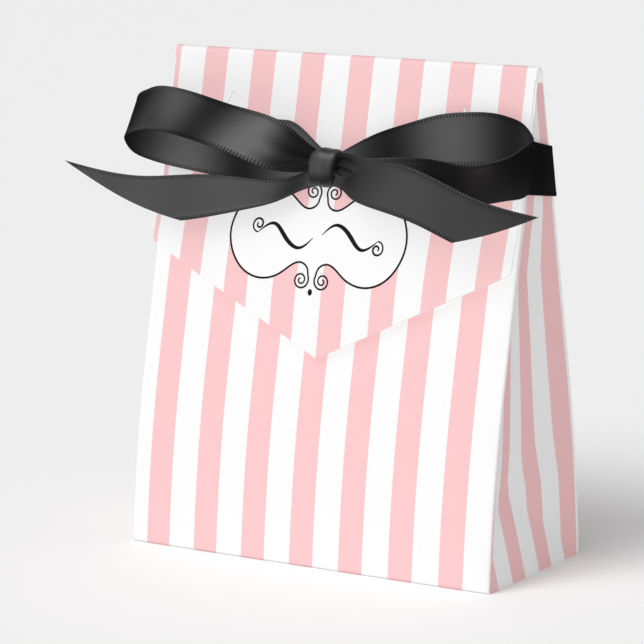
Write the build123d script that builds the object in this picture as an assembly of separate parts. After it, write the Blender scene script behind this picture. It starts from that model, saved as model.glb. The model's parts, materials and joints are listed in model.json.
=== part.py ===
"""Tent-style favour box: a creased striped card box with a pointed closure flap, tied with a satin ribbon.

Millimetres, +Z up. The origin is the centre of the base panel's underside. The closure flap and the
bow are on the -Y side. The card is one die-cut blank in the real object, so each panel between two
creases is a sub-part of its own, and so is each run of the ribbon.
"""
from build123d import *
from math import asin, cos, degrees, radians, sin, tan
import os

# Driving dimensions
WIDTH = 101.6                # side to side, 4 in
DEPTH = 46.7                 # front to back at the base
CARD = 0.45                  # card thickness
FOOT_LEAN = radians(3.5)     # how far the front and back lean in at the base, from the vertical
PANEL_LEAN = radians(12.1)   # and from BEND_HEIGHT up, where they are straight
BEND_HEIGHT = 47.0
FRONT_TOP = 111.8            # the front panel's free top edge, under the flap
RIDGE_RADIUS = 1.3           # outside of the rounded fold along the top
FLAP_GAP = 0.35              # between the front panel and the flap where the ribbon holds it

FLAP_WIDTH = 101.0
FLAP_FLARE_TOP = 90.0        # below this height the flap stands further off the front panel
FLAP_CORNER = (-13.4, 75.0)  # (y, z) of the outer face at the flap's side corners
FLAP_TIP = (-18.1, 50.6)     # (y, z) of the outer face at its point
FLAP_TIP_LEAN = radians(9.0)
FLAP_CORNER_RADIUS = 2.0
FLAP_TIP_RADIUS = 1.5
SLIT_X = 32.3                # the ends of the two arched slits that a ribbon can be threaded through
SLIT_BOW = 1.6               # and how much further out their middles are
SLIT_WIDTH = 0.7
SLIT_LENGTH = 16.0
SLIT_TOP = 113.0

GUSSET_TOP = 116.0
# The gusset's hollow: (height, depth, where it is deepest as a part of the half depth, roundness)
GUSSET_HOLLOW = [
    (0.0, 4.2, -0.45, 1.25),
    (21.0, 4.2, -0.45, 1.25),
    (25.0, 4.1, -0.28, 1.5),
    (31.0, 3.8, -0.02, 1.9),
    (38.0, 3.35, 0.1, 2.1),
    (57.0, 2.2, 0.2, 2.2),
    (75.0, 1.5, 0.1, 2.0),
    (90.0, 0.3, 0.05, 2.0),
    (121.0, 0.2, 0.05, 2.0),
]
HOLLOW_STATIONS = (-1.0, -0.75, -0.45, -0.1, 0.3, 0.65, 1.0)    # parts of the half depth
FOOT_TILT = radians(11.3)    # the lower triangle of the gusset, tipped in about the base's side edge
TAB_WIDTH = 10.0
TAB_END = 3.0                # clear length at each end of a glue tab

RIBBON_WIDTH = 12.7          # 1/2 in satin
RIBBON = 0.4                 # thickness
RIBBON_STEPS = 2             # flat lengths between two stations of the bow
BAND_GAP = 0.3               # between the tied band and the card
BAND_LOW = 91.2              # the band's lower edge at the back
BAND_LOW_RIGHT = 93.5        # at the front's right edge
BAND_LOW_LEFT = 94.2         # and at the front's left edge
BAND_RISE = RIBBON_WIDTH * cos(PANEL_LEAN)
GATHER = 15.0                # the band narrows over this length towards the knot
GATHERED_RISE = 5.0
KNOT_CENTRE = (-1.5, -11.9, 96.6)
KNOT_SIZE = (10.4, 7.6, 9.8)

# The panels' outer face: an arc up to BEND_HEIGHT and a straight run above it
ARC_RADIUS = BEND_HEIGHT / (sin(PANEL_LEAN) - sin(FOOT_LEAN))
ARC_Y = -DEPTH / 2 + ARC_RADIUS * cos(FOOT_LEAN)
ARC_Z = -ARC_RADIUS * sin(FOOT_LEAN)
BEND_Y = ARC_Y - ARC_RADIUS * cos(PANEL_LEAN)
APEX = BEND_HEIGHT - BEND_Y / tan(PANEL_LEAN)    # where the two outer faces would meet
FLAP_OFFSET = FLAP_GAP + CARD                    # the flap's outer face beyond the front panel's
RIDGE_Y = -FLAP_OFFSET / (2 * cos(PANEL_LEAN))
RIDGE_Z = APEX - (RIDGE_RADIUS + RIDGE_Y * cos(PANEL_LEAN)) / sin(PANEL_LEAN)

# The flap turns about the crease on the back of the ridge
HINGE_Y = RIDGE_Y + RIDGE_RADIUS * cos(PANEL_LEAN)
HINGE_Z = RIDGE_Z + RIDGE_RADIUS * sin(PANEL_LEAN)

FAR = 200.0                  # longer than anything in the model
EDGE = WIDTH / 2


def arc_point(lean, offset):
    """A point (y, z) on the front panel's arc, offset outwards."""
    radius = ARC_RADIUS + offset
    return (ARC_Y - radius * cos(lean), ARC_Z + radius * sin(lean))


def straight_point(z, offset):
    """A point (y, z) on the front panel's straight run, offset outwards."""
    return (-(APEX - z) * tan(PANEL_LEAN) - offset / cos(PANEL_LEAN), z)


def slab(y_low, y_high, z_low, z_high, x_low=-EDGE, x_high=EDGE):
    """A box between six planes."""
    size = (x_high - x_low, y_high - y_low, z_high - z_low)
    middle = ((x_low + x_high) / 2, (y_low + y_high) / 2, (z_low + z_high) / 2)
    return Pos(*middle) * Box(*size)


def across(face, x_low, x_high):
    """Extrude a face drawn in Y and Z from x_low to x_high."""
    return Pos(x_low, 0, 0) * extrude(Plane.YZ * face, amount=x_high - x_low, dir=(1, 0, 0))


def skin(outer, inner, x_low=-EDGE, x_high=EDGE):
    """A layer parallel to the front panel, between two offsets from its outer face."""
    start = radians(0.5)
    middle = (start + PANEL_LEAN) / 2
    outer_arc = ThreePointArc(arc_point(start, outer), arc_point(middle, outer), arc_point(PANEL_LEAN, outer))
    inner_arc = ThreePointArc(arc_point(PANEL_LEAN, inner), arc_point(middle, inner), arc_point(start, inner))
    top = APEX + 10.0
    run = Polyline(outer_arc @ 1, straight_point(top, outer), straight_point(top, inner), inner_arc @ 0)
    close = Line(inner_arc @ 1, outer_arc @ 0)
    return across(make_face([outer_arc, run, inner_arc, close]), x_low, x_high)


def base_panel():
    reach = half_depth(CARD, CARD)
    return slab(-reach, reach, 0, CARD)


def front_panel():
    return skin(0, -CARD) & slab(-FAR, 0, 0, FRONT_TOP)


def back_panel():
    """Mirrors the front panel, and runs up to the crease at the ridge."""
    wall = skin(0, -CARD) & slab(-FAR, FAR, 0, FAR)
    wall = mirror(wall, about=Plane.XZ)
    above_crease = Pos(0, RIDGE_Y, RIDGE_Z) * Rot(degrees(PANEL_LEAN), 0, 0) * slab(-FAR, FAR, 0, FAR)
    return wall - above_crease


def ridge_fold():
    """The rounded fold over the top, from the back panel's crease to the flap."""
    ring = Circle(RIDGE_RADIUS) - Circle(RIDGE_RADIUS - CARD)
    tube = across(Pos(RIDGE_Y, RIDGE_Z) * ring, -EDGE, EDGE)
    keep = slab(0, FAR, 0, FAR, -FAR, FAR) + slab(-FAR, 0, 0, FAR, -FAR, FAR)
    back_half = Pos(0, RIDGE_Y, RIDGE_Z) * Rot(degrees(PANEL_LEAN), 0, 0) * keep
    front_half = Pos(0, RIDGE_Y, RIDGE_Z) * Rot(-degrees(PANEL_LEAN), 0, 0) * keep
    return tube & back_half & front_half


def flap_profile():
    """The flap's section: straight under the ribbon, then bowed off the front panel."""
    top_z = RIDGE_Z + RIDGE_RADIUS * sin(PANEL_LEAN)
    top = (RIDGE_Y - RIDGE_RADIUS * cos(PANEL_LEAN), top_z)
    flare = straight_point(FLAP_FLARE_TOP, FLAP_OFFSET)
    down = (-sin(PANEL_LEAN), -cos(PANEL_LEAN))
    tip_down = (-sin(FLAP_TIP_LEAN), -cos(FLAP_TIP_LEAN))
    inwards = (cos(PANEL_LEAN) * CARD, -sin(PANEL_LEAN) * CARD)
    tip_inwards = (cos(FLAP_TIP_LEAN) * CARD, -sin(FLAP_TIP_LEAN) * CARD)

    def moved(point, step):
        return (point[0] + step[0], point[1] + step[1])

    outer = Spline(flare, FLAP_CORNER, FLAP_TIP, tangents=(down, tip_down))
    inner = Spline(moved(FLAP_TIP, tip_inwards), moved(FLAP_CORNER, inwards), moved(flare, inwards),
                   tangents=((-tip_down[0], -tip_down[1]), (-down[0], -down[1])))
    outer_run = Line(top, outer @ 0)
    inner_run = Line(inner @ 1, moved(top, inwards))
    tip_edge = Line(outer @ 1, inner @ 0)
    top_edge = Line(inner_run @ 1, top)
    return make_face([outer_run, outer, tip_edge, inner, inner_run, top_edge])


def flap_outline():
    """The flap seen from the front: a pentagon with rounded corners, as a prism along Y."""
    half = FLAP_WIDTH / 2
    corner = FLAP_CORNER[1]
    tip = FLAP_TIP[1]
    points = [(-half, FAR), (-half, corner), (0, tip), (half, corner), (half, FAR)]
    face = make_face(Polyline(*points, close=True))
    sides = face.vertices().sort_by(Axis.Y)
    face = fillet(sides[1:3], FLAP_CORNER_RADIUS)
    face = fillet(face.vertices().sort_by(Axis.Y)[0], FLAP_TIP_RADIUS)
    return extrude(Plane.XZ * face, amount=FAR, both=True)


def slit(side):
    """An arched slit on one side of the flap, as a prism along Y."""
    reach = (SLIT_LENGTH - SLIT_WIDTH) / 2
    middle = SLIT_TOP - SLIT_LENGTH / 2
    end = side * SLIT_X
    bow = side * (SLIT_X + SLIT_BOW)
    arc = ThreePointArc((end, middle + reach), (bow, middle), (end, middle - reach))
    return extrude(Plane.XZ * SlotArc(arc, SLIT_WIDTH), amount=FAR, both=True)


def closure_flap():
    sheet = across(flap_profile(), -EDGE, EDGE) & flap_outline()
    for side in (-1, 1):
        sheet -= slit(side)
    return sheet


def half_depth(z, inset):
    """Half the distance between the front and back panels at a height, less an inset."""
    if z < BEND_HEIGHT:
        lean = asin((z - ARC_Z) / ARC_RADIUS)
        return -arc_point(lean, 0)[0] - inset
    return -straight_point(z, 0)[0] - inset


def foot_apex():
    """The (y, z) of the lower triangle's apex, where it meets the deepest line of the hollow."""
    z, depth, deepest, roundness = GUSSET_HOLLOW[1]
    return (deepest * half_depth(z, CARD), depth / tan(FOOT_TILT))


def hollow_section(z, depth, deepest, roundness):
    """The hollow's outline at a height, closed along the box's side."""
    reach = half_depth(z, CARD)
    points = []
    for t in HOLLOW_STATIONS:
        run = 1 + deepest if t < deepest else 1 - deepest
        rise = 1 - (abs(t - deepest) / run) ** roundness
        points.append((EDGE - depth * rise, t * reach))
    return Pos(0, 0, z) * make_face(Polyline(*points, close=True))


def gusset_card():
    """The right gusset as one bent sheet: a shallow hollow above, tipped in over the base below."""
    inside = mirror(skin(-CARD, -FAR / 2), about=Plane.XZ) & skin(-CARD, -FAR / 2)
    block = inside & slab(-FAR, FAR, CARD, GUSSET_TOP, EDGE - TAB_WIDTH * 2, EDGE)
    sections = [hollow_section(*row) for row in GUSSET_HOLLOW]
    hollow = loft(sections, ruled=True)
    outside = Pos(EDGE, 0, 0) * Rot(0, -degrees(FOOT_TILT), 0) * slab(-FAR, FAR, -FAR, FAR, 0, FAR)
    body = block - (hollow & outside)
    return body - Pos(-CARD, 0, 0) * body


def foot_prism():
    """The lower triangle's outline, as a prism along X."""
    reach = half_depth(0, CARD)
    return across(make_face(Polyline((-reach, 0), foot_apex(), (reach, 0), close=True)), 0, FAR)


def largest(shape):
    """The one big solid of a cut sheet, without the slivers that a cut can leave."""
    return shape.solids().sort_by(SortBy.VOLUME)[-1]


def side_glue_tab(gusset):
    """Folded in from the gusset's rear edge and glued inside the back panel."""
    layer = mirror(skin(-CARD, -2 * CARD, EDGE - CARD - TAB_WIDTH, EDGE - CARD), about=Plane.XZ)
    layer = layer & slab(0, FAR, CARD + TAB_END, GUSSET_TOP - TAB_END)
    return largest(layer - gusset)


def base_glue_tab(foot):
    """Folded in from the foot's lower edge and glued on top of the base panel."""
    reach = DEPTH / 2 - CARD
    outer = EDGE - CARD
    inner = outer - TAB_WIDTH
    outline = Polyline((outer, -reach + TAB_END), (outer, reach - TAB_END), (inner, reach - 2 * TAB_END),
                       (inner, -reach + 2 * TAB_END), close=True)
    tab = Pos(0, 0, CARD) * extrude(make_face(outline), amount=CARD, dir=(0, 0, 1))
    return largest(tab - foot)


FRONT_BAND_GAP = FLAP_OFFSET + BAND_GAP
BAND_EDGE = EDGE + BAND_GAP


def band_layer(gap, outline):
    """A run of the ribbon band lying on the front panel's slope, with its outline in X and Z."""
    layer = skin(gap + RIBBON, gap, -FAR, FAR)
    return layer & extrude(Plane.XZ * make_face(Polyline(*outline, close=True)), amount=FAR, both=True)


def front_band(side, low):
    """From the knot to a side edge, where the band's lower edge is at a height."""
    x, _, z = KNOT_CENTRE
    half = GATHERED_RISE / 2
    inner = x + side * GATHER
    edge = side * BAND_EDGE
    inner_low = (low + BAND_LOW) / 2
    lower = [(x, z - half), (inner, inner_low), (edge, low)]
    upper = [(edge, low + BAND_RISE), (inner, inner_low + BAND_RISE), (x, z + half)]
    return band_layer(FRONT_BAND_GAP, lower + upper)


def back_band():
    outline = [(-BAND_EDGE, BAND_LOW), (BAND_EDGE, BAND_LOW)]
    outline += [(BAND_EDGE, BAND_LOW + BAND_RISE), (-BAND_EDGE, BAND_LOW + BAND_RISE)]
    return mirror(band_layer(BAND_GAP, outline), about=Plane.XZ)


def side_band(side, front_low):
    """The band's run over a gusset, straight from the back to the front."""
    front = FRONT_BAND_GAP + RIBBON
    back = BAND_GAP + RIBBON
    corners = [straight_point(front_low, front), straight_point(front_low + BAND_RISE, front)]
    for z in (BAND_LOW + BAND_RISE, BAND_LOW):
        y, height = straight_point(z, back)
        corners.append((-y, height))
    run = across(make_face(Polyline(*corners, close=True)), BAND_EDGE, BAND_EDGE + RIBBON)
    return run if side > 0 else mirror(run, about=Plane.YZ)


def knot():
    """The wrapped centre of the bow, flat against the band behind it."""
    ball = Pos(*KNOT_CENTRE) * scale(Sphere(0.5), by=KNOT_SIZE)
    behind = skin(FRONT_BAND_GAP + RIBBON, -FAR / 2, -FAR, FAR)
    return ball - behind


def ribbon_run(stations):
    """A run of ribbon through stations, each a pair of points on its upper and lower edge."""
    upper = Spline(*[above for above, below in stations])
    lower = Spline(*[below for above, below in stations])
    steps = RIBBON_STEPS * (len(stations) - 1)
    rings = []
    for i in range(steps + 1):
        rise = upper @ (i / steps) - lower @ (i / steps)
        along = upper % (i / steps) + lower % (i / steps)
        out = along.cross(rise).normalized() * (RIBBON / 2)
        top = upper @ (i / steps)
        bottom = lower @ (i / steps)
        rings.append([top + out, bottom + out, bottom - out, top - out])
    faces = [Face(Wire(Polyline(*ring, close=True))) for ring in (rings[0], rings[-1])]
    for near, far in zip(rings, rings[1:]):
        for k in range(len(near)):
            after = (k + 1) % len(near)
            faces.append(Face(Wire(Polyline(near[k], near[after], far[after], close=True))))
            faces.append(Face(Wire(Polyline(near[k], far[after], far[k], close=True))))
    return Solid(Shell(faces))


# Stations of the bow: (upper edge, lower edge), from the knot outwards
LEFT_LOOP = [
    ((-4.0, -12.8, 101.6), (-5.5, -13.2, 95.4)),
    ((-8.9, -15.5, 106.4), (-11.9, -19.0, 96.1)),
    ((-15.4, -16.5, 109.2), (-20.8, -21.5, 99.2)),
    ((-25.1, -17.0, 111.1), (-31.7, -22.5, 102.2)),
    ((-37.4, -16.0, 113.5), (-42.6, -21.5, 103.9)),
    ((-48.2, -13.0, 113.8), (-50.9, -18.0, 103.2)),
    ((-54.4, -10.0, 112.1), (-57.4, -14.0, 101.3)),
    ((-58.4, -7.5, 109.4), (-60.2, -10.8, 98.8)),
    ((-57.8, -6.4, 107.0), (-59.3, -9.8, 96.7)),
    ((-54.2, -6.4, 105.7), (-55.4, -9.3, 94.9)),
    ((-46.5, -6.8, 104.3), (-47.1, -9.6, 93.5)),
    ((-34.0, -7.8, 102.7), (-33.8, -10.4, 92.2)),
    ((-20.0, -9.2, 99.8), (-19.3, -11.3, 91.7)),
    ((-7.1, -10.2, 98.9), (-7.0, -11.2, 94.1)),
]
RIGHT_LOOP = [
    ((4.6, -13.2, 100.7), (4.1, -13.2, 95.1)),
    ((11.3, -16.5, 100.6), (9.9, -15.5, 93.2)),
    ((19.3, -19.5, 101.3), (16.9, -17.0, 90.8)),
    ((27.9, -21.5, 102.2), (23.7, -17.5, 90.2)),
    ((36.5, -22.5, 102.1), (32.2, -18.0, 89.7)),
    ((43.0, -22.3, 101.5), (38.2, -17.3, 89.8)),
    ((47.6, -21.0, 102.0), (43.1, -16.0, 91.2)),
    ((50.3, -18.8, 102.8), (46.7, -14.3, 92.0)),
    ((52.5, -15.5, 104.1), (49.9, -12.3, 92.6)),
    ((53.7, -12.3, 105.7), (52.1, -10.6, 93.1)),
    ((54.3, -10.0, 106.9), (53.3, -9.4, 94.5)),
    ((53.3, -8.6, 107.7), (53.1, -8.9, 95.6)),
    ((51.0, -7.8, 109.8), (51.3, -8.7, 97.3)),
    ((47.3, -7.4, 111.3), (48.1, -8.7, 98.7)),
    ((42.7, -7.3, 112.1), (44.1, -8.8, 99.5)),
    ((36.1, -7.5, 112.0), (37.5, -9.0, 99.4)),
    ((28.3, -8.0, 111.0), (29.6, -9.4, 98.8)),
    ((20.1, -8.9, 108.5), (21.2, -10.1, 97.3)),
    ((11.6, -10.0, 105.4), (12.3, -10.9, 96.2)),
    ((3.4, -11.2, 100.9), (3.6, -11.5, 95.9)),
]
LEFT_TAIL = [
    ((-5.7, -12.0, 95.7), (-6.6, -12.3, 91.0)),
    ((-11.3, -14.0, 93.4), (-12.3, -14.6, 88.2)),
    ((-20.4, -15.5, 93.0), (-20.2, -16.8, 85.7)),
    ((-32.8, -16.5, 93.3), (-29.0, -18.4, 83.4)),
    ((-51.4, -17.5, 91.7), (-33.6, -19.0, 82.8)),
    ((-73.7, -18.0, 94.0), (-38.3, -19.5, 82.3)),
]
RIGHT_TAIL = [
    ((4.6, -14.0, 95.0), (4.0, -14.0, 92.3)),
    ((12.9, -18.3, 98.3), (9.3, -17.8, 90.8)),
    ((23.5, -22.3, 100.7), (14.8, -21.0, 89.7)),
    ((35.0, -24.5, 98.7), (24.7, -23.0, 87.8)),
    ((47.7, -24.5, 94.1), (34.5, -23.5, 85.4)),
    ((62.3, -22.0, 90.8), (41.2, -23.5, 83.1)),
]


def build():
    card = gusset_card()
    prism = foot_prism()
    foot = largest(card & prism)
    gusset = largest(card - prism)
    centre = knot()
    side_tab = side_glue_tab(gusset)
    base_tab = base_glue_tab(foot)
    parts = {
        "base_panel": base_panel(),
        "front_panel": front_panel(),
        "back_panel": back_panel(),
        "ridge_fold": ridge_fold(),
        "closure_flap": closure_flap(),
        "ribbon_band_back": back_band(),
        "ribbon_band_front_left": front_band(-1, BAND_LOW_LEFT),
        "ribbon_band_front_right": front_band(1, BAND_LOW_RIGHT),
        "left_ribbon_band_side": side_band(-1, BAND_LOW_LEFT),
        "right_ribbon_band_side": side_band(1, BAND_LOW_RIGHT),
        "ribbon_knot": centre,
        "ribbon_left_loop": largest(ribbon_run(LEFT_LOOP) - centre),
        "ribbon_right_loop": largest(ribbon_run(RIGHT_LOOP) - centre),
        "ribbon_left_tail": largest(ribbon_run(LEFT_TAIL) - centre),
        "ribbon_right_tail": largest(ribbon_run(RIGHT_TAIL) - centre),
    }
    pairs = {
        "gusset": gusset,
        "gusset_foot": foot,
        "side_glue_tab": side_tab,
        "base_glue_tab": base_tab,
    }
    for name, shape in pairs.items():
        parts["right_" + name] = shape
        parts["left_" + name] = mirror(shape, about=Plane.YZ)
    return parts


os.makedirs("parts", exist_ok=True)
for node, shape in build().items():
    export_step(shape, f"parts/{node}.step")
    print(node, len(shape.solids()), round(shape.volume, 1))
print("ridge top", round(RIDGE_Z + RIDGE_RADIUS, 2), "hinge", round(HINGE_Y, 3), round(HINGE_Z, 3))
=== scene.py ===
"""A tent-style favour box of striped card, tied with a satin ribbon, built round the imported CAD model.

Lengths here are millimetres, and each mesh is turned into metres as it is made. The box stands on Z 0 with
its closure flap towards -Y. Card is built as it is die-cut: each panel is a flat shape bent into place.
"""
import json
import math
import bpy
import numpy as np
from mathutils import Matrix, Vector
from mathutils.geometry import delaunay_2d_cdt


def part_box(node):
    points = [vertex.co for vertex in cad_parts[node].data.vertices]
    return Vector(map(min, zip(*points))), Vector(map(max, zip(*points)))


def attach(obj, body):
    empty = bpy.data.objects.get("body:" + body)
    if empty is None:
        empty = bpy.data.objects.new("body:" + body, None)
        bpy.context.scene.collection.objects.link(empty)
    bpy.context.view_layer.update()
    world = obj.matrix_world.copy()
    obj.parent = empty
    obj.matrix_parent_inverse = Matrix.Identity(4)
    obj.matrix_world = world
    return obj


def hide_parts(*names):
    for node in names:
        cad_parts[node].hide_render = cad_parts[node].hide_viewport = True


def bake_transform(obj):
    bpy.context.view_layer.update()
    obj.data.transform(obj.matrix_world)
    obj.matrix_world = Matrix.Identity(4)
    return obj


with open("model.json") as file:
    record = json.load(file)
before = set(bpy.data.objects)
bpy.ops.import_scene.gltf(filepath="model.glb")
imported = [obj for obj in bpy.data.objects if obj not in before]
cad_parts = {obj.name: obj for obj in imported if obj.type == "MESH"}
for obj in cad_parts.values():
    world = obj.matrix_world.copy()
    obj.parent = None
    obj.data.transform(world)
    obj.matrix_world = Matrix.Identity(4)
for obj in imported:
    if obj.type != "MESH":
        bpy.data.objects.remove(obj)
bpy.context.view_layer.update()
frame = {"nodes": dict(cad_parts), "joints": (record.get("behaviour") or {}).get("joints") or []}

MM = 0.001


def corners(node):
    """A CAD node's lowest and highest corners in millimetres."""
    return [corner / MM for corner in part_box(node)]


# Read from the frame
EDGE = corners("back_panel")[1].x                       # half the width
HALF_DEPTH = -corners("front_panel")[0].y               # half the depth, at the base
FRONT_TOP = corners("front_panel")[1].z
FLAP_EDGE = corners("closure_flap")[1].x
FLAP_TIP_Z = corners("closure_flap")[0].z
BAND_LOW, BAND_HIGH = (corner.z for corner in corners("ribbon_band_back"))
BAND_X = corners("right_ribbon_band_side")[1].x         # outside of the band at the box's sides
HINGE = [value / MM for value in frame["joints"][0]["pos_m"]]

# The card
CARD = 0.45
FOOT_LEAN = math.radians(3.5)
PANEL_LEAN = math.radians(12.1)
BEND_HEIGHT = 47.0
FOLD = 0.6                   # outside radius of a folded edge
RIDGE_RADIUS = 1.3
RIDGE_TURN = math.pi - 2 * PANEL_LEAN
FLAP_GAP = 0.35              # from the front panel's face to the flap's inner face, under the ribbon
FLAP_STRAIGHT_TO = 90.0
FLAP_CORNER_Z = 75.0
FLAP_FLARE = [(6.0, math.radians(21.5)), (23.0, math.radians(9.0))]     # (length, lean at its end)
FLAP_RADII = (0.01, 2.0, 1.5, 2.0, 0.01)       # of its corners, round from the top left one
SLIT = (32.3, 105.0, 0.7, 16.0)        # across at its ends, height of the middle, width, length
SLIT_BOW = 1.6                         # its middle is this much further out
GUSSET_TOP = 119.0
# The gusset's hollow: height, depth, where it is deepest as a part of the half depth, roundness of its sides
GUSSET_HOLLOW = np.array([
    (0.0, 4.2, -0.45, 1.25),
    (21.0, 4.2, -0.45, 1.25),
    (25.0, 4.1, -0.28, 1.5),
    (31.0, 3.8, -0.02, 1.9),
    (38.0, 3.35, 0.1, 2.1),
    (57.0, 2.2, 0.2, 2.2),
    (75.0, 1.5, 0.1, 2.0),
    (90.0, 0.3, 0.05, 2.0),
    (121.0, 0.2, 0.05, 2.0),
])
FOOT_TILT = math.radians(11.3)

# The print: pink stripes on white
STRIPE_PITCH = 13.9
STRIPE_SHARE = 0.476
FRONT_STRIPE = -46.3         # left edge of a pink stripe, across the front
FLAP_STRIPE = -41.9
SIDE_PITCH = 13.5
SIDE_STRIPE = 0.5            # from the gusset's rear edge
# The gussets' printed stripes narrow upwards: heights, and how much narrower they are there
STRIPE_TAPER = ((74.0, 82.0, 89.0, 107.0), (1.0, 1.2, 1.5, 1.9))

# The ribbon
RIBBON_WIDTH = 12.7
RIBBON = 0.36                # thickness
RIB_PITCH = 0.85             # of the corded edges
RIB_SHARE = 0.83             # the corded edge starts at this part of the half width
BAND_GAP = 0.3               # between the band and the card
BAND_CORNER = 0.9
BAND_PLAN = (90.0, 110.0)    # two heights between which the band's plan changes evenly
BAND_LOW_RIGHT = 93.5        # its lower edge at the front's right edge
BAND_LOW_LEFT = 94.2         # and at the front's left edge
GATHER = 15.0                # the band narrows over this length towards the knot
GATHERED = 5.0               # and is this wide under it
KNOT = (-0.9, -11.9, 96.7)   # its middle
KNOT_HALF = (3.9, 3.3, 4.75)
KNOT_CLEARANCE = 0.1         # between its back and the band
KNOT_SQUARE = 4.5            # how square its sides are: 2 is round
KNOT_FLAT = 0.85             # how round its wrap is: 1 is round
KNOT_FOLD = 0.022            # depth of its soft folds, as a part of its size
PAINTED_HIGHLIGHT_PITCH = 34.0           # painted highlight: the loops' gloss is made to rise and fall this often along the ribbon
PAINTED_HIGHLIGHT_PEAK = 16.0           # and is strongest this far from the knot
THREAD_PITCH = 0.32          # of the weft

# The big arc of the front and back panels' outer faces
ARC_RADIUS = BEND_HEIGHT / (math.sin(PANEL_LEAN) - math.sin(FOOT_LEAN))
BEND_HALF_DEPTH = HALF_DEPTH - ARC_RADIUS * (math.cos(FOOT_LEAN) - math.cos(PANEL_LEAN))
APEX = BEND_HEIGHT + BEND_HALF_DEPTH / math.tan(PANEL_LEAN)


# ---------------------------------------------------------------- mesh making

def grid(columns, rows):
    """Every (column, row) pair as points, and the quads between them."""
    across, along = np.meshgrid(columns, rows)
    width = len(columns)
    faces = []
    for j in range(len(rows) - 1):
        for i in range(width - 1):
            a = j * width + i
            faces.append((a, a + 1, a + 1 + width, a + width))
    return across.ravel(), along.ravel(), faces


def inside(polygon, points):
    """True for each point that lies within a closed outline."""
    x, y = points[:, 0], points[:, 1]
    within = np.zeros(len(points), bool)
    for (ax, ay), (bx, by) in zip(polygon, np.roll(polygon, -1, axis=0)):
        if ay != by:
            within ^= ((ay > y) != (by > y)) & (x < (bx - ax) * (y - ay) / (by - ay) + ax)
    return within


def spread_line(points, step, closed=True):
    """A polyline with its long sides divided."""
    points = np.asarray(points, float)
    ends = np.roll(points, -1, axis=0) if closed else points[1:]
    found = []
    for a, b in zip(points, ends):
        count = max(1, int(np.ceil(np.linalg.norm(b - a) / step)))
        found += [a + (b - a) * k / count for k in range(count)]
    if not closed:
        found.append(points[-1])
    return np.array(found)


def fill(outline, holes=(), creases=(), step=1.6):
    """Points and triangles that fill a flat outline, with points along its holes and creases."""
    loops = [spread_line(loop, step) for loop in (outline, *holes)]
    points, edges = [], []
    for loop in loops:
        first = len(points)
        points += list(loop)
        edges += [(first + k, first + (k + 1) % len(loop)) for k in range(len(loop))]
    for crease in creases:
        first = len(points)
        points += list(crease)
        edges += [(first + k, first + k + 1) for k in range(len(crease) - 1)]
    rim = np.array(points)
    low, high = rim.min(0), rim.max(0)
    across, along, _ = grid(np.arange(low[0], high[0], step), np.arange(low[1], high[1], step))
    inner = np.stack([across, along], 1)
    inner = inner[inside(loops[0], inner)]
    gap = np.array([np.min(np.sum((rim - point) ** 2, 1)) for point in inner])
    inner = inner[gap > (0.6 * step) ** 2]
    every = [Vector(point) for point in (*points, *inner)]
    flat, _, faces, *_ = delaunay_2d_cdt(every, edges, [], 0, 1e-6)
    flat = np.array(flat)
    middles = flat[np.array(faces)].mean(1)
    kept = inside(loops[0], middles)
    for loop in loops[1:]:
        kept &= ~inside(loop, middles)
    return flat[:, 0], flat[:, 1], [tuple(face) for face, keep in zip(faces, kept) if keep]


def build(name, points, faces, slots, paper, materials, sharp=35):
    """A mesh object from points in millimetres, with its flat-sheet coordinates as the UV map 'paper'."""
    mesh = bpy.data.meshes.new(name)
    mesh.from_pydata((np.asarray(points) * MM).tolist(), [], faces)
    for material in materials:
        mesh.materials.append(material)
    mesh.polygons.foreach_set("material_index", slots)
    corner_points = np.zeros(len(mesh.loops), np.int32)
    mesh.loops.foreach_get("vertex_index", corner_points)
    mesh.uv_layers.new(name="paper").data.foreach_set("uv", np.asarray(paper)[corner_points].ravel())
    mesh.shade_smooth()
    mesh.set_sharp_from_angle(angle=math.radians(sharp))
    piece = bpy.data.objects.new(name, mesh)
    bpy.context.scene.collection.objects.link(piece)
    return piece


def thick(name, points, normals, faces, paper, materials, thickness=CARD, sharp=35):
    """A closed sheet: its outer face through the points, and its inner face that far behind them."""
    points, normals = np.asarray(points), np.asarray(normals)
    a, b, c = (points[[face[k] for face in faces]] for k in range(3))
    along = np.einsum("ij,ij->i", np.cross(b - a, c - a), normals[[face[0] for face in faces]])
    if along.sum() < 0:
        faces = [face[::-1] for face in faces]
    count = len(points)
    inner = points - normals * np.reshape(thickness, (-1, 1))
    sides = {(a, b) for face in faces for a, b in zip(face, face[1:] + face[:1])}
    rim = [(a, b) for a, b in sorted(sides) if (b, a) not in sides]
    walls = [(b, a, a + count, b + count) for a, b in rim]
    backs = [tuple(v + count for v in face[::-1]) for face in faces]
    slots = [0] * len(faces) + [1] * (len(backs) + len(walls))
    both = np.concatenate([points, inner])
    piece = build(name, both, faces + backs + walls, slots, np.concatenate([paper, paper]), materials, sharp)
    loose = set(range(len(both))) - {v for face in faces for v in face} - {v for face in backs for v in face}
    if loose:
        raise ValueError(f"{name} has {len(loose)} loose points")
    return piece


# ---------------------------------------------------------------- bending card

def walk(start, heading, runs, step=0.1):
    """A bent line as rows of (length, y, z, heading). A run is (length, turn), and heading 0 goes up."""
    s, (y, z) = 0.0, start
    rows = [(s, y, z, heading)]
    for length, turn in runs:
        count = max(2, int(length / step))
        for i in range(count):
            middle = heading + turn * (i + 0.5) / count
            y -= math.sin(middle) * length / count
            z += math.cos(middle) * length / count
            s += length / count
            rows.append((s, y, z, heading + turn * (i + 1) / count))
        heading += turn
    return np.array(rows)


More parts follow.
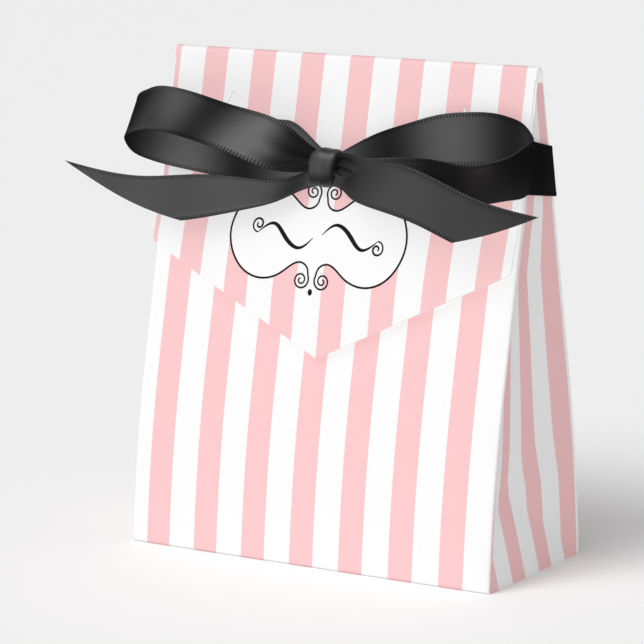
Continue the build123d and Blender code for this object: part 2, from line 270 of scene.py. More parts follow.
def bend(path, side, p, s, folded=False):
    """Points and outward normals of a panel bent along a path, with p across and s along it."""
    p, s = np.asarray(p, float), np.asarray(s, float)
    y, z, heading = (np.interp(s, path[:, 0], path[:, k]) for k in (1, 2, 3))
    out_y, out_z = side * np.cos(heading), side * np.sin(heading)
    flat = EDGE - FOLD if folded else 10 * EDGE
    turn = np.clip((abs(p) - flat) / FOLD, 0, math.pi / 2)
    x = np.sign(p) * (np.minimum(abs(p), flat) + FOLD * np.sin(turn))
    inset = FOLD * (1 - np.cos(turn))
    points = np.stack([x, y - inset * out_y, z - inset * out_z], 1)
    normals = np.stack([np.sign(p) * np.sin(turn), out_y * np.cos(turn), out_z * np.cos(turn)], 1)
    return points, normals


def half_depth(z):
    """From the middle of the box to the front panel's outer face, at a height."""
    z = np.asarray(z, float)
    lean = np.arcsin(np.minimum(z, BEND_HEIGHT) / ARC_RADIUS + math.sin(FOOT_LEAN))
    curved = HALF_DEPTH - ARC_RADIUS * (math.cos(FOOT_LEAN) - np.cos(lean))
    return np.where(z < BEND_HEIGHT, curved, (APEX - z) * math.tan(PANEL_LEAN))


foot_y = -HALF_DEPTH + FOLD * (1 + math.sin(FOOT_LEAN)) / math.cos(FOOT_LEAN)
wall_runs = [
    (FOLD * (math.pi / 2 + FOOT_LEAN), -math.pi / 2 - FOOT_LEAN),
    (ARC_RADIUS * (PANEL_LEAN - FOOT_LEAN), FOOT_LEAN - PANEL_LEAN),
    (EDGE * 2, 0.0),
]
WALL = walk((foot_y, 0.0), math.pi / 2, wall_runs)

flap_runs = [(RIDGE_RADIUS * RIDGE_TURN, RIDGE_TURN)]
flap_runs.append(((HINGE[2] - FLAP_STRAIGHT_TO) / math.cos(PANEL_LEAN), 0.0))
lean = PANEL_LEAN
for flare_length, flare_lean in FLAP_FLARE:
    flap_runs.append((flare_length, lean - flare_lean))
    lean = flare_lean
flap_runs.append((20.0, 0.0))
FLAP = walk(HINGE[1:], PANEL_LEAN, flap_runs)
RIDGE_END = flap_runs[0][0]
FLAP_START = RIDGE_END + 2.0


def flap_length(z):
    """How far along the flap's path a height is, on the front side."""
    front = FLAP[:, 0] >= RIDGE_END
    return np.interp(-np.asarray(z, float), -FLAP[front, 2], FLAP[front, 0])


def wall_length(z):
    return np.interp(z, WALL[:, 2], WALL[:, 0])


# ---------------------------------------------------------------- materials

def principled(name, roughness, specular=0.5, **settings):
    """A material's node tree and its shader, with the values that are the same all over."""
    material = bpy.data.materials.new(name)
    material.use_nodes = True
    shader = material.node_tree.nodes["Principled BSDF"]
    shader.inputs["Roughness"].default_value = roughness
    shader.inputs["Specular IOR Level"].default_value = specular
    for socket, value in settings.items():
        shader.inputs[socket.replace("_", " ").title()].default_value = value
    return material, material.node_tree, shader


def add(tree, kind, inputs=None, **settings):
    """A shader node with its inputs set to numbers or linked to other nodes' outputs."""
    made = tree.nodes.new("ShaderNode" + kind)
    for key, value in settings.items():
        setattr(made, key, value)
    for key, value in (inputs or {}).items():
        if isinstance(value, bpy.types.NodeSocket):
            tree.links.new(value, made.inputs[key])
        else:
            made.inputs[key].default_value = value
    return made


def calculate(tree, operation, first, second=0.0):
    return add(tree, "Math", {0: first, 1: second}, operation=operation).outputs[0]


def sheet_map(tree):
    """The flat sheet's two coordinates in millimetres, and both together."""
    paper = add(tree, "UVMap", uv_map="paper").outputs[0]
    split = add(tree, "SeparateXYZ", {0: paper})
    return split.outputs[0], split.outputs[1], paper


def mottle(tree, shader, base, place, amount, scale):
    """Links a base colour, darkened a little in small soft spots, to a shader."""
    noise = add(tree, "TexNoise", {"Vector": place, "Scale": scale, "Detail": 5.0})
    spots = add(tree, "MapRange", {0: noise.outputs[0], 3: 1.0 - amount, 4: 1.0})
    mixed = add(tree, "Mix", {0: 1.0, 6: base, 7: spots.outputs[0]}, data_type="RGBA", blend_type="MULTIPLY")
    tree.links.new(mixed.outputs[2], shader.inputs["Base Color"])
    return noise.outputs[0]


def emboss(tree, shader, height, strength, distance):
    bump = add(tree, "Bump", {"Height": height, "Strength": strength, "Distance": distance})
    tree.links.new(bump.outputs[0], shader.inputs["Normal"])


def printed_card(name, pitch):
    """Smooth white card with pink stripes along it and a faint fibre."""
    material, tree, shader = principled(name, 0.52, 0.3)
    across, _, paper = sheet_map(tree)
    share = calculate(tree, "FRACT", calculate(tree, "DIVIDE", across, pitch))
    pink = calculate(tree, "LESS_THAN", share, STRIPE_SHARE)
    colour = add(tree, "Mix", {0: pink, 6: CARD_WHITE, 7: CARD_PINK}, data_type="RGBA")
    fibre = mottle(tree, shader, colour.outputs[2], paper, 0.03, 1.3)
    emboss(tree, shader, fibre, 0.12, 0.00003)
    return material


def plain_card():
    """The uncoated inside and the cut edges of the card."""
    material, tree, shader = principled("card_inside", 0.75, 0.2)
    place = add(tree, "TexCoord").outputs["Object"]
    fibre = mottle(tree, shader, CARD_CORE, place, 0.05, 900.0)
    emboss(tree, shader, fibre, 0.2, 0.00004)
    return material


def label_paper():
    """The white printed panel."""
    material, tree, shader = principled("label_white", 0.5, 0.3)
    place = add(tree, "TexCoord").outputs["Object"]
    fibre = mottle(tree, shader, CARD_WHITE, place, 0.02, 900.0)
    emboss(tree, shader, fibre, 0.1, 0.00003)
    return material


def satin(name, dull, bright):
    """Near-black satin: fine threads along the ribbon, and painted shade in the grooves between the ribs of
    its corded edges. Its gloss is made to rise and fall along the ribbon between dull and bright, a painted
    highlight, and a broad noise darkens and brightens its colour, painted shade and sheen."""
    material, tree, shader = principled(name, 0.55, 1.0, anisotropic=0.3)
    along, across, _ = sheet_map(tree)
    threads = add(tree, "CombineXYZ", {0: calculate(tree, "MULTIPLY", along, 0.08),
                                       1: calculate(tree, "MULTIPLY", across, 5.0)})
    streaks = add(tree, "TexNoise", {"Vector": threads.outputs[0], "Scale": 1.0, "Detail": 4.0})
    tone = add(tree, "ValToRGB", {0: streaks.outputs[0]})
    tone.color_ramp.elements[0].color = SATIN_DARK
    tone.color_ramp.elements[1].color = SATIN_LIGHT
    tone.color_ramp.elements[0].position = 0.3
    tone.color_ramp.elements[1].position = 0.7
    # Painted shade and sheen: a broad soft noise along the ribbon darkens and brightens its colour in
    # patches, standing in for the light on soft folds
    broad = add(tree, "CombineXYZ", {0: calculate(tree, "MULTIPLY", along, 0.055),
                                     1: calculate(tree, "MULTIPLY", across, 0.035)})
    painted_light_noise = add(tree, "TexNoise", {"Vector": broad.outputs[0], "Scale": 1.0, "Detail": 1.0})
    painted_light_level = add(tree, "MapRange", {0: painted_light_noise.outputs[0], 1: 0.35, 2: 0.65, 3: 0.45, 4: 1.25})
    lit = add(tree, "Mix", {0: 1.0, 6: tone.outputs[0], 7: painted_light_level.outputs[0]},
              data_type="RGBA", blend_type="MULTIPLY")
    # Painted shade: the grooves between the ribs of the corded edges are darkened, and made rougher
    edge = calculate(tree, "GREATER_THAN", calculate(tree, "ABSOLUTE", across), RIB_SHARE * RIBBON_WIDTH / 2)
    groove = calculate(tree, "COSINE", calculate(tree, "MULTIPLY", along, 2 * math.pi / RIB_PITCH))
    shaded_groove = calculate(tree, "MULTIPLY", edge, calculate(tree, "LESS_THAN", groove, -0.1))
    dark = add(tree, "Mix", {0: calculate(tree, "MULTIPLY", shaded_groove, 0.7), 6: lit.outputs[2], 7: GROOVE_SHADE},
               data_type="RGBA")
    tree.links.new(dark.outputs[2], shader.inputs["Base Color"])
    rough = calculate(tree, "ADD", calculate(tree, "MULTIPLY", shaded_groove, 0.35), 0.55)
    tree.links.new(rough, shader.inputs["Roughness"])
    # Painted highlight: the gloss strength is made to rise and fall along the ribbon, so the loops are
    # brighter and darker in set places
    from_peak = calculate(tree, "SUBTRACT", along, PAINTED_HIGHLIGHT_PEAK)
    painted_highlight_wave = calculate(tree, "COSINE", calculate(tree, "MULTIPLY", from_peak, 2 * math.pi / PAINTED_HIGHLIGHT_PITCH))
    gloss = add(tree, "MapRange", {0: painted_highlight_wave, 1: -1.0, 2: 1.0, 3: dull, 4: bright})
    tree.links.new(gloss.outputs[0], shader.inputs["Specular IOR Level"])
    weft = calculate(tree, "SINE", calculate(tree, "MULTIPLY", across, 2 * math.pi / THREAD_PITCH))
    height = calculate(tree, "ADD", streaks.outputs[0], calculate(tree, "MULTIPLY", weft, 0.25))
    emboss(tree, shader, height, 0.25, 0.00004)
    return material


def ink():
    """Black print on the card."""
    material, tree, shader = principled("black_print", 0.6, 0.12)
    place = add(tree, "TexCoord").outputs["Object"]
    mottle(tree, shader, INK_BLACK, place, 0.25, 1500.0)
    return material


def floor_material():
    material, tree, shader = principled("floor", 0.85, 0.1)
    place = add(tree, "TexCoord").outputs["Object"]
    mottle(tree, shader, FLOOR_GREY, place, 0.01, 3.0)
    return material


CARD_WHITE = (0.737, 0.737, 0.737, 1)
CARD_PINK = (0.737, 0.45, 0.46, 1)
CARD_CORE = (0.76, 0.76, 0.75, 1)
SATIN_DARK = (0.006, 0.006, 0.006, 1)
SATIN_LIGHT = (0.012, 0.012, 0.012, 1)
# painted shade for the grooves between the ribs of the ribbon's corded edges
GROOVE_SHADE = (0.003, 0.003, 0.003, 1)
INK_BLACK = (0.004, 0.004, 0.005, 1)
FLOOR_GREY = (0.91, 0.91, 0.91, 1)

STRIPED = printed_card("striped_card", STRIPE_PITCH)
STRIPED_SIDE = printed_card("striped_card_side", SIDE_PITCH)
PLAIN = plain_card()
PAPER_WHITE = label_paper()
SATIN = satin("satin", 0.95, 1.05)
# The loops' satin gets strong painted highlight swells, and the tails' satin almost none
LOOP_SATIN = satin("loop_satin", 0.08, 1.3)
INK = ink()


# ---------------------------------------------------------------- the box

def panel_columns(reach):
    """Places across a panel: even ones over its flat middle and close ones round its folded edges."""
    flat = np.linspace(FOLD - EDGE, EDGE - FOLD, 52)
    if reach <= EDGE:
        return np.linspace(-reach, reach, 54)
    turn = np.linspace(0, reach - EDGE + FOLD, 7)[1:]
    return np.concatenate([-(EDGE - FOLD) - turn[::-1], flat, EDGE - FOLD + turn])


def wall_rows(top):
    """Places along a wall up to a height: close ones round its lower fold and even ones above."""
    fold_length = wall_runs[0][0]
    above = np.linspace(fold_length, wall_length(top), 60)
    return np.concatenate([np.linspace(0, fold_length, 8)[:-1], above])


def front_panel():
    reach = EDGE - FOLD + FOLD * math.pi / 2
    p, s, faces = grid(panel_columns(reach), wall_rows(FRONT_TOP))
    points, normals = bend(WALL, -1, p, s, folded=True)
    paper = np.stack([p - FRONT_STRIPE, s], 1)
    piece = thick("front_card", points, normals, faces, paper, [STRIPED, PLAIN])
    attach(piece, "box")
    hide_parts("front_panel")


def back_panel():
    p, s, faces = grid(panel_columns(EDGE), wall_rows(HINGE[2]))
    points, normals = bend(WALL, -1, p, s)
    points, normals = points * (1, -1, 1), normals * (1, -1, 1)
    paper = np.stack([p - FLAP_STRIPE, s], 1)
    piece = thick("back_card", points, normals, faces, paper, [STRIPED, PLAIN])
    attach(piece, "box")
    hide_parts("back_panel")


def ridge():
    """The rounded fold along the top, from its rear crease to the start of the flap."""
    rows = np.concatenate([np.linspace(0, RIDGE_END, 25)[:-1], np.linspace(RIDGE_END, FLAP_START, 4)])
    p, s, faces = grid(panel_columns(EDGE), rows)
    points, normals = bend(FLAP, 1, p, s)
    paper = np.stack([p - FLAP_STRIPE, s], 1)
    piece = thick("ridge_card", points, normals, faces, paper, [STRIPED, PLAIN])
    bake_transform(piece)
    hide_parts("ridge_fold")


def rounded(points, radii, steps=8):
    """A closed outline with arcs of the given radii at its corners."""
    points = [Vector(point) for point in points]
    found = []
    for k, (corner, radius) in enumerate(zip(points, radii)):
        before = (points[k - 1] - corner).normalized()
        after = (points[(k + 1) % len(points)] - corner).normalized()
        half = before.angle(after) / 2
        centre = corner + (before + after).normalized() * radius / math.sin(half)
        arms = [corner + side * radius / math.tan(half) - centre for side in (before, after)]
        first, last = (math.atan2(arm.y, arm.x) for arm in arms)
        turn = (last - first + math.pi) % (2 * math.pi) - math.pi
        for i in range(steps + 1):
            angle = first + turn * i / steps
            found.append((centre.x + radius * math.cos(angle), centre.y + radius * math.sin(angle)))
    return found


def slit(side):
    """The closed outline of an arched slit through the flap."""
    x, height, width, length = SLIT
    reach = (length - width) / 2
    radius = (reach ** 2 + SLIT_BOW ** 2) / (2 * SLIT_BOW)
    centre = x + SLIT_BOW - radius
    spread = math.asin(reach / radius)
    outline = []
    for outward, start in ((1, -spread), (-1, spread)):
        for turn in np.linspace(start, -start, 14):
            ring = radius + outward * width / 2
            outline.append((centre + ring * math.cos(turn), ring * math.sin(turn)))
    middle = flap_length(height)
    return [(side * across, middle - along) for across, along in outline]


def closure_flap():
    """The pointed flap that hangs over the front, with its two arched slits."""
    corner, tip = flap_length(FLAP_CORNER_Z), flap_length(FLAP_TIP_Z)
    left = [(-FLAP_EDGE, FLAP_START), (-FLAP_EDGE, corner)]
    right = [(FLAP_EDGE, corner), (FLAP_EDGE, FLAP_START)]
    outline = rounded([*left, (0, tip), *right], FLAP_RADII)
    p, s, faces = fill(outline, [slit(-1), slit(1)])
    points, normals = bend(FLAP, 1, p, s)
    paper = np.stack([p - FLAP_STRIPE, s], 1)
    piece = thick("flap_card", points, normals, faces, paper, [STRIPED, PLAIN])
    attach(piece, "flap")
    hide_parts("closure_flap")


def base_panel():
    reach, deep = EDGE - CARD, -foot_y
    p, q, faces = grid(np.linspace(-reach, reach, 40), np.linspace(-deep, deep, 20))
    points = np.stack([p, q, np.zeros_like(p)], 1)
    normals = np.tile((0.0, 0.0, -1.0), (len(p), 1))
    piece = thick("base_card", points, normals, faces, np.stack([p - FLAP_STRIPE, q], 1), [STRIPED, PLAIN])
    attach(piece, "box")
    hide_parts("base_panel")


def spline(knots, values, at):
    """A natural cubic spline through values at knots, read at other places."""
    knots, values, at = np.asarray(knots, float), np.asarray(values, float), np.asarray(at, float)
    count, gap = len(knots), np.diff(knots)
    system, target = np.eye(count), np.zeros_like(values)
    slope = np.diff(values, axis=0) / gap[:, None]
    for i in range(1, count - 1):
        system[i, i - 1:i + 2] = gap[i - 1], 2 * (gap[i - 1] + gap[i]), gap[i]
        target[i] = 6 * (slope[i] - slope[i - 1])
    curve = np.linalg.solve(system, target)
    k = np.clip(np.searchsorted(knots, at) - 1, 0, count - 2)
    width = gap[k][:, None]
    a, b = (knots[k + 1] - at)[:, None] / width, (at - knots[k])[:, None] / width
    bent = (a ** 3 - a) * curve[k] + (b ** 3 - b) * curve[k + 1]
    return a * values[k] + b * values[k + 1] + bent * width ** 2 / 6


def hollow_depth(y, z):
    """How far the gusset's hollow lies behind the box's side."""
    rows = [np.interp(z, GUSSET_HOLLOW[:, 0], GUSSET_HOLLOW[:, k]) for k in (1, 2, 3)]
    depth, deepest, roundness = rows
    front, rear = half_depth(z) - FOLD, half_depth(z) - CARD
    t = np.clip(np.where(y < 0, y / front, y / rear), -1, 1)
    run = np.where(t < deepest, 1 + deepest, 1 - deepest)
    return depth * (1 - (np.abs(t - deepest) / run) ** roundness)


def gusset_depth(y, z):
    """The hollow above, and the lower triangle that tips in over the base."""
    return np.minimum(hollow_depth(y, z), np.maximum(z, 0) * math.tan(FOOT_TILT))


def crease_height(y):
    """Where the lower triangle meets the hollow."""
    low, high = np.zeros_like(y), np.full_like(y, BEND_HEIGHT)
    for _ in range(30):
        middle = (low + high) / 2
        above = middle * math.tan(FOOT_TILT) > hollow_depth(y, middle)
        low, high = np.where(above, low, middle), np.where(above, middle, high)
    return low


def gusset(name, side):
    """One side of the box: a single creased sheet that bows inwards."""
    heights = np.linspace(0, GUSSET_TOP, 60)
    rear = [(half_depth(z) - CARD, z) for z in heights]
    front = [((FOLD if z < FRONT_TOP else 0.05) - half_depth(z), z) for z in heights[::-1]]
    across = np.linspace(front[-1][0], rear[0][0], 60)[1:-1]
    crease = np.stack([across, crease_height(across)], 1)
    y, z, faces = fill(rear + front, creases=[crease], step=1.4)
    depth = gusset_depth(y, z)
    small = 0.05
    slope_y = (gusset_depth(y + small, z) - gusset_depth(y - small, z)) / (2 * small)
    slope_z = (gusset_depth(y, z + small) - gusset_depth(y, z - small)) / (2 * small)
    points = np.stack([EDGE - depth, y, z], 1)
    normals = np.stack([np.ones_like(y), slope_y, slope_z], 1)
    normals /= np.linalg.norm(normals, axis=1)[:, None]
    rear_y = half_depth(z) - CARD
    steps = np.linspace(0, 1, 40)[:, None]
    line_y = y + (rear_y - y) * steps
    line_x = gusset_depth(line_y, np.tile(z, (40, 1)))
    length = np.sum(np.hypot(np.diff(line_y, axis=0), np.diff(line_x, axis=0)), 0)
    widen = np.interp(z, *STRIPE_TAPER)
    paper = np.stack([(length - SIDE_STRIPE * (z < BAND_LOW)) * widen, z], 1)
    mirror = (side, 1, 1)
    piece = thick(name, points * mirror, normals * mirror, faces, paper, [STRIPED_SIDE, PLAIN], sharp=7)
    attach(piece, "box")
    hand = "right" if side > 0 else "left"
    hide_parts(hand + "_gusset", hand + "_gusset_foot")


# ---------------------------------------------------------------- the ribbon

# Places across a ribbon, from its lower edge to its upper edge, as parts of the half width
UPPER_HALF = np.array([0.12, 0.25, 0.38, 0.5, 0.65, 0.8, 0.84, 0.88, 0.93, 0.975, 1])
ACROSS = np.concatenate([-UPPER_HALF[::-1], [0], UPPER_HALF])
RIB_STEP = RIB_PITCH / 4
# How much shorter each slanted tail's lower edge is than its upper one
LEFT_CUT = 35.0
RIGHT_CUT = 19.0


def ribbon_sheet(name, line, nodes, cut=0.0, pleats=(), cloth=SATIN):
    """A run of ribbon between two edges. Rows of line are (upper edge, lower edge). cut is how much shorter
    the lower edge is than the upper one, and pleats are (place along, reach, depth, folds across, phase)."""
    upper, lower = line[:, :3], line[:, 3:]
    middle = (upper + lower) / 2
    lengths = np.concatenate([[0], np.cumsum(np.linalg.norm(np.diff(middle, axis=0), axis=1))])
    tangent = np.gradient(middle, axis=0)
    out = np.cross(tangent, upper - lower)
    out /= np.linalg.norm(out, axis=1)[:, None]
    total = lengths[-1]
    w, part, faces = grid(ACROSS, np.linspace(0, 1, int(total / RIB_STEP) + 2))
    s = part * (total - cut * (1 - w) / 2)
    read = []
    for value in (upper, lower, out):
        read.append(np.stack([np.interp(s, lengths, value[:, k]) for k in range(3)], 1))
    wave = np.cos(2 * math.pi * s / RIB_PITCH)
    rib = np.where(np.abs(w) >= RIB_SHARE, 1.0, 0.0)
    spread = w * (1 + 0.008 * wave * (np.abs(w) > 0.96))
    points = (read[0] + read[1]) / 2 + (read[0] - read[1]) / 2 * spread[:, None]
    lift = np.zeros_like(s)
    for place, reach, depth, folds, phase in pleats:
        swelling = depth * np.exp(-((s - place) / reach) ** 2)
        lift += swelling * np.cos(math.pi * folds * w + phase) * (1 - w ** 4)
    points = points + read[2] * lift[:, None]
    height = RIBBON * (1 + rib * (0.1 + 0.3 * wave))
    height = np.where(np.abs(w) > 0.99, height * 0.45, height)
    outer = points + read[2] * (height / 2)[:, None]
    paper = np.stack([s, w * RIBBON_WIDTH / 2], 1)
    piece = thick(name, outer, read[2], faces, paper, [cloth, cloth], thickness=height, sharp=60)
    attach(piece, "ribbon")
    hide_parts(*nodes)
    return piece


# Soft pleats where the loops come out of the knot
LOOP_PLEATS = [(4.0, 7.0, 0.45, 2.4, 0.4), (11.0, 4.0, 0.15, 1.3, -1.2), (30.0, 9.0, 0.6, 0.4, 0.0),
               (46.0, 7.0, -0.5, 0.4, 0.0)]


def run_line(stations):
    """Close rows of (upper edge, lower edge) along a smooth run through stations."""
    rows = np.array([[*above, *below] for above, below in stations])
    middle = (rows[:, :3] + rows[:, 3:]) / 2
    knots = np.concatenate([[0], np.cumsum(np.linalg.norm(np.diff(middle, axis=0), axis=1))])
    return spline(knots, rows, np.linspace(0, knots[-1], 1500))


# Stations of the bow: (upper edge, lower edge), from the knot outwards
LEFT_LOOP = [
    ((-1.2, -11.8, 99.8), (-2.2, -12.2, 95.6)),
    ((-4.0, -12.8, 101.6), (-5.5, -13.2, 95.4)),
    ((-8.9, -15.5, 106.4), (-11.9, -19.0, 96.1)),
    ((-15.4, -16.5, 109.2), (-20.8, -21.5, 99.2)),
    ((-25.1, -17.0, 111.1), (-31.7, -22.5, 102.2)),
    ((-37.4, -16.0, 113.5), (-42.6, -21.5, 103.9)),
    ((-48.2, -13.0, 113.8), (-50.9, -18.0, 103.2)),
    ((-54.4, -10.0, 112.1), (-57.4, -14.0, 101.3)),
    ((-58.4, -7.5, 109.4), (-60.2, -10.8, 98.8)),
    ((-57.8, -6.4, 107.0), (-59.3, -9.8, 96.7)),
    ((-54.2, -6.4, 105.7), (-55.4, -9.3, 94.9)),
    ((-46.5, -6.8, 104.3), (-47.1, -9.6, 93.5)),
    ((-34.0, -7.8, 102.7), (-33.8, -10.4, 92.2)),
    ((-20.0, -9.2, 99.8), (-19.3, -11.3, 91.7)),
    ((-7.1, -10.2, 98.9), (-7.0, -11.2, 94.1)),
    ((-2.0, -10.6, 98.2), (-2.0, -11.2, 94.9)),
]
RIGHT_LOOP = [
    ((1.0, -12.0, 99.4), (0.8, -12.2, 95.5)),
    ((4.6, -13.2, 100.7), (4.1, -13.2, 95.1)),
    ((11.3, -16.5, 100.6), (9.9, -15.5, 93.2)),
    ((19.3, -19.5, 101.3), (16.9, -17.0, 90.8)),
    ((27.9, -21.5, 102.2), (23.7, -17.5, 90.2)),
    ((36.5, -22.5, 102.1), (32.2, -18.0, 89.7)),
    ((43.0, -22.3, 101.5), (38.2, -17.3, 89.8)),
    ((47.6, -21.0, 102.0), (43.1, -16.0, 91.2)),
    ((50.3, -18.8, 102.8), (46.7, -14.3, 92.0)),
    ((52.5, -15.5, 104.1), (49.9, -12.3, 92.6)),
    ((53.7, -12.3, 105.7), (52.1, -10.6, 93.1)),
    ((54.3, -10.0, 106.9), (53.3, -9.4, 94.5)),
    ((53.3, -8.6, 107.7), (53.1, -8.9, 95.6)),
    ((51.0, -7.8, 109.8), (51.3, -8.7, 97.3)),
    ((47.3, -7.4, 111.3), (48.1, -8.7, 98.7)),
    ((42.7, -7.3, 112.1), (44.1, -8.8, 99.5)),
    ((36.1, -7.5, 112.0), (37.5, -9.0, 99.4)),
    ((28.3, -8.0, 111.0), (29.6, -9.4, 98.8)),
    ((20.1, -8.9, 108.5), (21.2, -10.1, 97.3)),
    ((11.6, -10.0, 105.4), (12.3, -10.9, 96.2)),
    ((3.4, -11.2, 100.9), (3.6, -11.5, 95.9)),
    ((0.5, -11.0, 99.3), (0.5, -11.3, 95.6)),
]
LEFT_TAIL = [
    ((-1.5, -11.4, 96.2), (-2.0, -11.8, 92.2)),
    ((-5.7, -12.0, 95.7), (-6.6, -12.3, 91.0)),
    ((-11.3, -14.0, 93.4), (-12.3, -14.6, 88.2)),
    ((-20.4, -15.5, 93.0), (-20.2, -16.8, 85.7)),
    ((-32.8, -16.5, 93.3), (-32.0, -18.6, 82.9)),
    ((-51.4, -17.5, 91.7), (-50.9, -19.6, 80.4)),
    ((-73.7, -18.0, 94.0), (-73.0, -20.0, 82.2)),
]
RIGHT_TAIL = [
    ((1.0, -12.6, 94.9), (0.8, -12.8, 92.4)),
    ((4.6, -14.0, 95.0), (4.0, -14.0, 92.3)),
    ((12.9, -18.3, 98.3), (9.3, -17.8, 90.8)),
    ((23.5, -22.3, 100.7), (18.5, -21.6, 89.2)),
    ((35.0, -24.5, 98.7), (30.5, -23.6, 86.9)),
    ((47.7, -24.5, 94.1), (43.5, -23.8, 82.3)),
    ((62.3, -22.0, 90.8), (59.5, -22.6, 78.6)),
]


def band_front(z):
    """The y of the band's outer face on the front, at a height."""
    return -half_depth(z) - (FLAP_GAP + CARD + BAND_GAP + RIBBON) / math.cos(PANEL_LEAN)


def band():
    """The turn of ribbon round the box, over the flap, the gussets and the back, gathered under the knot."""
    rings = []
    for z in BAND_PLAN:
        front = band_front(z)
        back = half_depth(z) + (BAND_GAP + RIBBON) / math.cos(PANEL_LEAN)
        outline = [(KNOT[0], front), (BAND_X, front), (BAND_X, back), (-BAND_X, back), (-BAND_X, front)]
        outline = rounded(outline, [0.01] + [BAND_CORNER] * 4)
        outline.append(outline[0])
        rings.append(np.array(outline))
    run = np.concatenate([[0], np.cumsum(np.linalg.norm(np.diff(rings[0], axis=0), axis=1))])
    at = np.linspace(0, run[-1], 2400)
    plan = [np.stack([np.interp(at, run, ring[:, k]) for k in range(2)], 1) for ring in rings]
    front_right, side, back = BAND_X - KNOT[0], run[-1] / 2 - 2 * BAND_X, 2 * BAND_X
    corners_at = np.cumsum([front_right, side, back, side])
    low = np.interp(at, corners_at, (BAND_LOW_RIGHT, BAND_LOW, BAND_LOW, BAND_LOW_LEFT))
    rise = BAND_HIGH - BAND_LOW
    loose = np.clip(np.minimum(at, run[-1] - at) / GATHER, 0, 1)
    loose = loose * loose * (3 - 2 * loose)
    low_edge = KNOT[2] - GATHERED / 2 + (low - KNOT[2] + GATHERED / 2) * loose
    high_edge = KNOT[2] + GATHERED / 2 + (low + rise - KNOT[2] - GATHERED / 2) * loose
    edges = []
    for z in (high_edge, low_edge):
        share = ((z - BAND_PLAN[0]) / (BAND_PLAN[1] - BAND_PLAN[0]))[:, None]
        edges.append(np.concatenate([plan[0] + (plan[1] - plan[0]) * share, z[:, None]], 1))
    nodes = ["ribbon_band_back", "right_ribbon_band_side", "left_ribbon_band_side", "ribbon_band_front_left",
             "ribbon_band_front_right"]
    ribbon_sheet("ribbon_band", np.concatenate(edges, 1), nodes)


def knot():
    """The wrapped centre of the bow: ribbon turned over the front, with soft upright folds."""
    centre, size = np.array(KNOT), np.array(KNOT_HALF)
    columns, turns = 44, 72
    points, paper = [], []
    for i in range(columns):
        u = math.sin(math.pi / 2 * (2 * (i + 0.5) / columns - 1))
        round_off = (1 - abs(u) ** KNOT_SQUARE) ** (1 / KNOT_SQUARE)
        for k in range(turns):
            angle = 2 * math.pi * k / turns
            fold = 1 + KNOT_FOLD * math.cos(6.0 * u + 1.6 * math.sin(angle)) - 0.05 * u * u
            flat = [np.sign(value) * abs(value) ** KNOT_FLAT for value in (math.cos(angle), math.sin(angle))]
            reach = round_off * fold
            z = size[2] * flat[1] * reach
            points.append((size[0] * u * (1 + 0.08 * flat[1]) + 0.12 * z, -size[1] * flat[0] * reach, z))
            paper.append((angle * size[2], u * size[0]))
    faces = []
    for i in range(columns - 1):
        for k in range(turns):
            a, b = i * turns + k, i * turns + (k + 1) % turns
            faces.append((a, a + turns, b + turns, b))
    faces.append(tuple(range(turns)))
    faces.append(tuple(range((columns - 1) * turns, columns * turns))[::-1])
    place = np.array(points) + centre
    behind = band_front(place[:, 2]) - KNOT_CLEARANCE
    place[:, 1] = np.minimum(place[:, 1], behind)
    piece = build("ribbon_knot_wrap", place, faces, [0] * len(faces), np.array(paper), [SATIN], sharp=60)
    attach(piece, "ribbon")
    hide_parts("ribbon_knot")


# ---------------------------------------------------------------- the printed frame on the flap

LABEL = (-3.3, 79.6)         # the middle of the frame on the flap: across, height
PRINT_LIFT = 0.03            # a printed layer stands this far off the card
LINE = 0.52                  # width of the frame's line
# The lower right quarter of the frame, from its side to the top of its lower hump and down to its curl
FRAME_QUARTER = [(24.8, 0.0), (23.6, -4.8), (19.6, -9.4), (14.2, -10.9), (9.2, -9.4), (6.2, -7.2),
                 (3.9, -6.3), (1.9, -7.1), (0.9, -9.2)]
CURL = ((3.0, -10.4), 2.25)  # its middle and radius


def on_flap(shape, lift):
    """Points of a flat drawing laid on the flap's face, with the normals there."""
    shape = np.asarray(shape, float)
    points, normals = bend(FLAP, 1, shape[:, 0] + LABEL[0], flap_length(shape[:, 1] + LABEL[1]))
    return points + normals * lift, normals


def smooth_line(points, count=24):
    """Close points along a smooth line through a few."""
    points = np.array(points, float)
    knots = np.concatenate([[0], np.cumsum(np.linalg.norm(np.diff(points, axis=0), axis=1))])
    return spline(knots, points, np.linspace(0, knots[-1], count * len(points)))


def printed(name, shape, faces, material, lift):
    """A flat drawing as a very thin layer on the flap's face."""
    points, normals = on_flap(shape, lift)
    paper = np.asarray(shape)
    piece = thick(name, points, normals, faces, paper, [material, material], thickness=PRINT_LIFT / 2)
    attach(piece, "flap")
    return piece


def stroke(name, line, width, taper=0.0):
    """A drawn line of some width, thinner towards its ends by the taper."""
    line = np.asarray(line, float)
    along = np.gradient(line, axis=0)
    along /= np.linalg.norm(along, axis=1)[:, None]
    aside = np.stack([-along[:, 1], along[:, 0]], 1)
    part = np.linspace(0, 1, len(line))
    half = width / 2 * (1 - taper * np.abs(2 * part - 1) ** 1.5)
    shape = np.concatenate([line + aside * half[:, None], line - aside * half[:, None]])
    count = len(line)
    faces = [(k, k + 1, k + 1 + count, k + count) for k in range(count - 1)]
    return printed(name, shape, faces, INK, 2 * PRINT_LIFT)


def curl(centre, radius, turns, start, hand):
    """A spiral that winds in from its outer end."""
    at = np.linspace(0, 1, int(30 * turns))
    angle = start + hand * at * turns * 2 * math.pi
    reach = radius * (1 - 0.85 * at)
    return np.stack([centre[0] + reach * np.cos(angle), centre[1] + reach * np.sin(angle)], 1)


